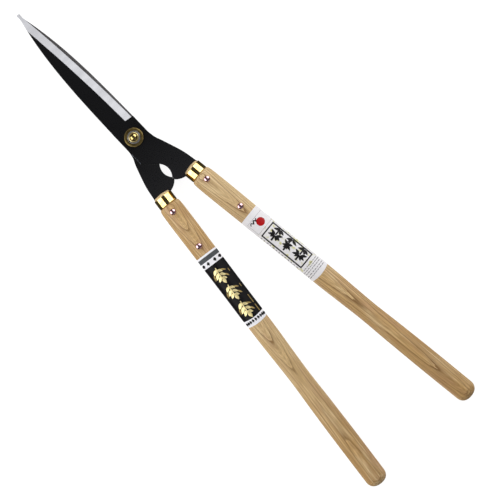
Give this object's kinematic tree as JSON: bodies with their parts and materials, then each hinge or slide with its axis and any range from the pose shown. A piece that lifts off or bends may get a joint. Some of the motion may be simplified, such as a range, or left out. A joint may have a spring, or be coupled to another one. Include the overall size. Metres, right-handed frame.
{
  "type": "hedge shears",
  "caption": "Long-handled hedge shears: two crossed black forged blades with ground edges on a bolt pivot, brass ferrules and round wooden handles with paper labels.",
  "frame": {"origin": "on the pivot axis, at the centre of the flat back face of the pivot bolt's head", "axes": "+Y from the pivot towards the blade tips, +Z out of the front face along the pivot axis, +X to the right when the front faces the viewer"},
  "size_m": [0.172, 0.6951, 0.0303],
  "materials": {
    "black_forged_steel": "black forge finish, satin, with a brightly ground bevel along the cutting edge",
    "polished_brass": "polished",
    "aged_brass": "darkened, with a polished rim",
    "bright_steel": "zinc plated",
    "nickel_plate": "polished nickel with a warm tint",
    "pale_oak": "smooth turned oak with a thin clear coat",
    "black_label": "glossy black wrap with gold leaf marks and white end bands",
    "white_label": "silver-white coated paper with a red disc and a black frame"
  },
  "bodies": {
    "rear_half": {"rear_blade": "black_forged_steel", "pivot_bolt": "polished_brass", "pivot_cup_washer": "aged_brass", "pivot_spring_washer": "bright_steel", "pivot_nut": "polished_brass", "left_handle": "pale_oak", "left_ferrule": "polished_brass", "left_rivet_1": "nickel_plate", "left_rivet_2": "nickel_plate", "left_burr_1": "nickel_plate", "left_burr_2": "nickel_plate", "left_label": "black_label"},
    "front_half": {"front_blade": "black_forged_steel", "right_handle": "pale_oak", "right_ferrule": "polished_brass", "right_rivet_1": "nickel_plate", "right_rivet_2": "nickel_plate", "right_burr_1": "nickel_plate", "right_burr_2": "nickel_plate", "right_label": "white_label"}
  },
  "joints": [
    {"name": "blade_pivot", "type": "hinge", "parent": "rear_half", "child": "front_half", "pos_m": [0, 0, 0], "axis": [0, 0, 1], "range_deg": [0, 60]}
  ]
}
